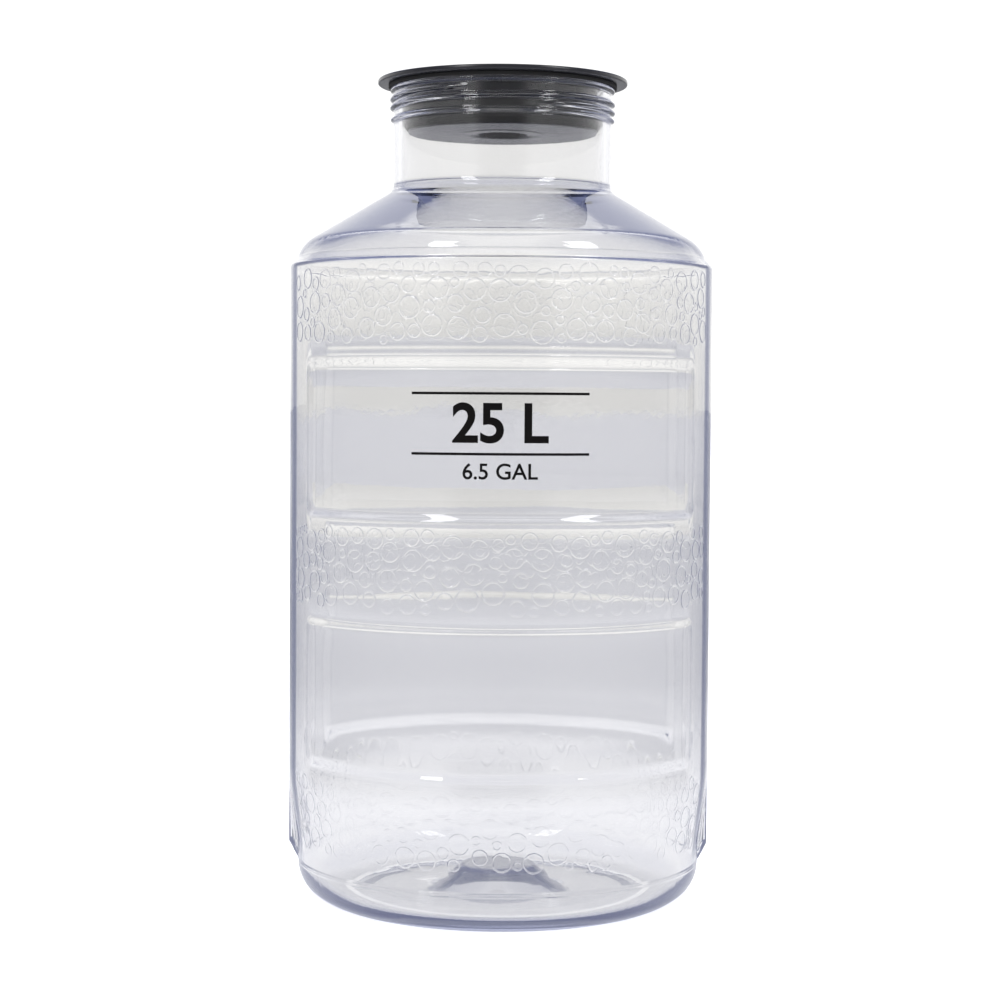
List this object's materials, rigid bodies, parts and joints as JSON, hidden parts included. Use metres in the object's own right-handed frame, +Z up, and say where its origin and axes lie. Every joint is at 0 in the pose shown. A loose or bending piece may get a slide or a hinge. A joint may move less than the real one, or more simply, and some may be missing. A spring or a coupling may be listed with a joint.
{
  "type": "wide-mouth carboy with plug lid",
  "caption": "Clear plastic fermenting carboy with a wide threaded neck, bubble-textured bands, recessed panels, a punted base and a black plug lid with gaskets and a drilled stopper.",
  "frame": {"origin": "on the bottle's axis at the surface it stands on", "axes": "+Z up along the bottle's axis, -Y towards the front panel, +X towards a smooth side pillar"},
  "size_m": [0.2794, 0.2794, 0.544],
  "materials": {
    "clear_plastic": "clear, high gloss, faint blue where thick",
    "black_plastic": "semi-gloss moulded black",
    "black_rubber": "satin rubber"
  },
  "bodies": {
    "bottle": {"bottle": "clear_plastic"},
    "lid": {"lid": "black_plastic", "rim_gasket": "black_rubber", "plug_gasket": "black_rubber"},
    "stopper": {"stopper": "black_rubber"}
  },
  "joints": [
    {"name": "lid_lift", "type": "slide", "parent": "bottle", "child": "lid", "axis": [0, 0, 1], "range_m": [0, 0.19]},
    {"name": "stopper_pull", "type": "slide", "parent": "lid", "child": "stopper", "axis": [0, 0, 1], "range_m": [0, 0.06]}
  ]
}
